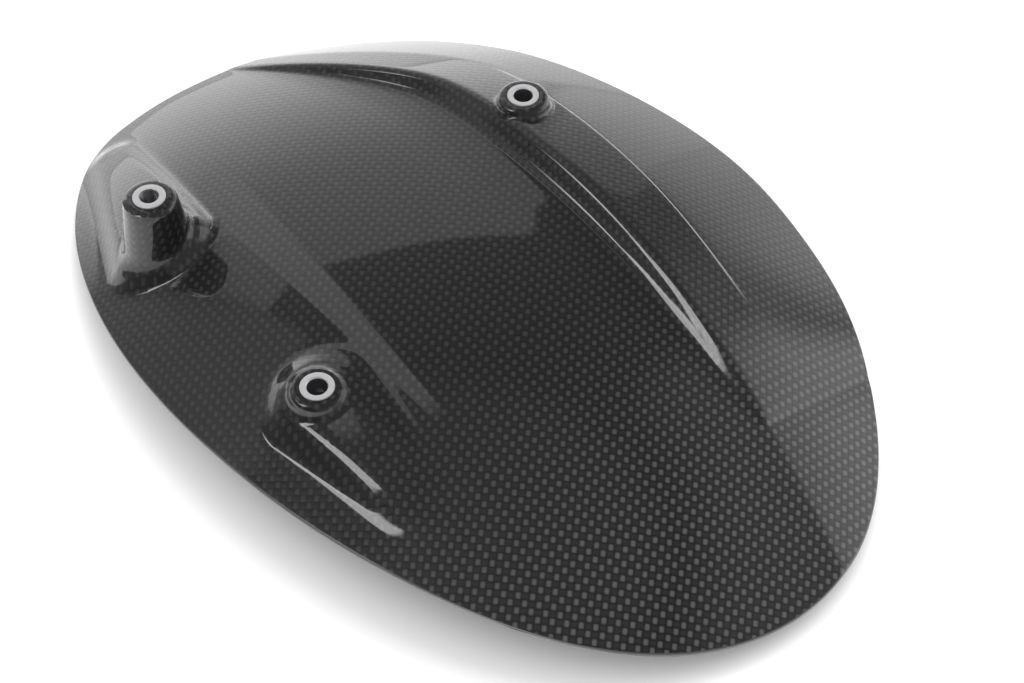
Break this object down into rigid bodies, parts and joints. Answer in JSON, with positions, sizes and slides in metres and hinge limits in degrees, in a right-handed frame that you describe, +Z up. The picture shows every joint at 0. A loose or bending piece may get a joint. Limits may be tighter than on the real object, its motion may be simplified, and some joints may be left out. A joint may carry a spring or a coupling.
{
  "type": "rear splash guard",
  "caption": "Thin arched woven-laminate splash guard for a motorbike's rear tyre, with a long raised rib, a soft fold, faired bosses and flanged metal inserts.",
  "frame": {"origin": "on the floor, under the middle of the outline", "axes": "+X along the tyre's path to the rounded tail, +Y to the side with the long rib, +Z up along the bosses"},
  "size_m": [0.2858, 0.1945, 0.0458],
  "materials": {
    "laminate": "black plain weave under a glossy clear coat",
    "insert_metal": "satin, turned"
  },
  "bodies": {
    "root": {"guard_shell": "laminate", "insert_left_rear": "insert_metal", "insert_left_front": "insert_metal", "insert_right": "insert_metal"}
  },
  "joints": []
}
